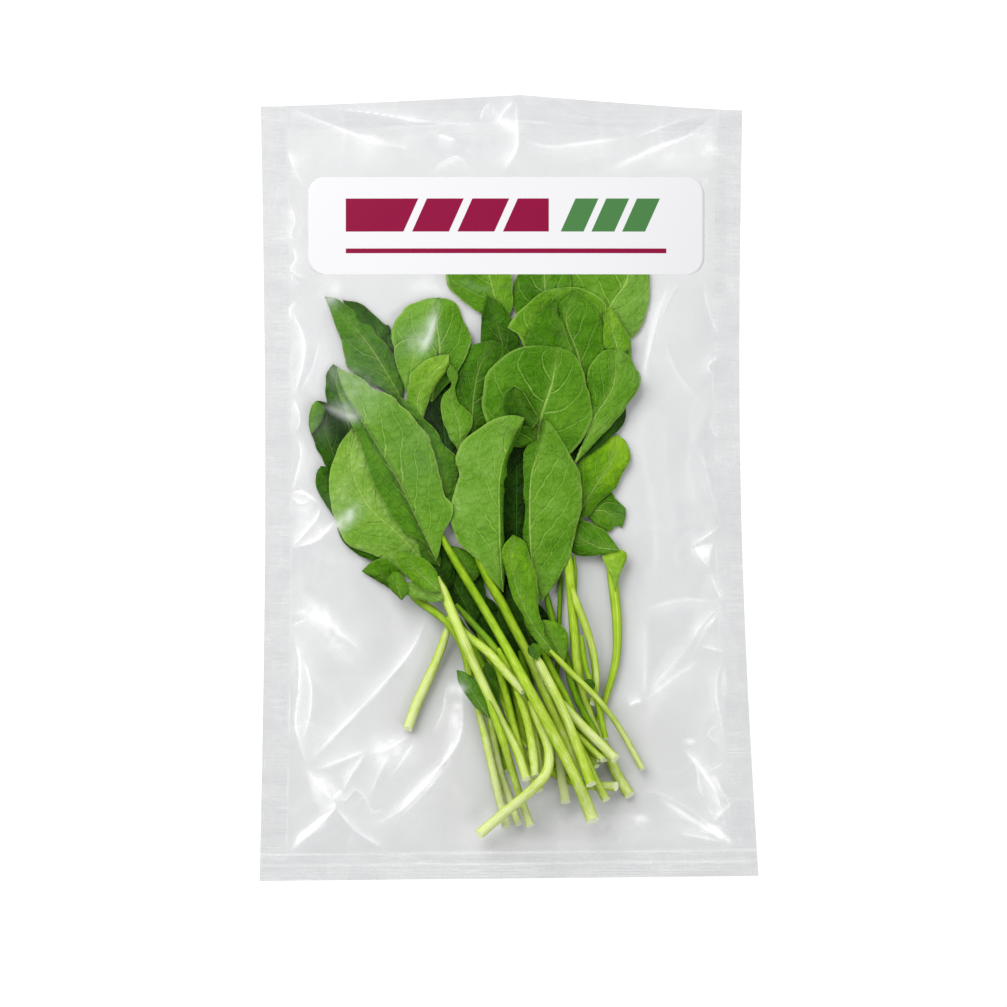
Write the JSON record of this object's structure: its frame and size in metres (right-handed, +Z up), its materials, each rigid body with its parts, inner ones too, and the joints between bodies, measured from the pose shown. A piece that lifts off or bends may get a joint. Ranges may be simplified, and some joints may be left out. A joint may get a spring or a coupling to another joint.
{
  "type": "pack of leaf salad",
  "caption": "Sealed clear-film pouch lying flat, welded on all sides, with a bunch of stalked green leaves inside and a plain rounded label on the front.",
  "frame": {"origin": "middle of the pouch's outline on the surface that it lies on", "axes": "+X across the pouch to the right as the label is read, +Y along it towards the top seal, +Z up out of the labelled front"},
  "size_m": [0.187, 0.2946, 0.0237],
  "materials": {
    "film": "clear glossy plastic film, welded bands finely crimped",
    "label": "smooth white label stock with plain printed bands",
    "leaf": "fresh green leaf with a soft waxy sheen and fine veins",
    "stalk": "pale green ribbed leaf stalk with a moist sheen"
  },
  "bodies": {
    "root": {"pouch": "film", "label": "label"}
  },
  "joints": []
}
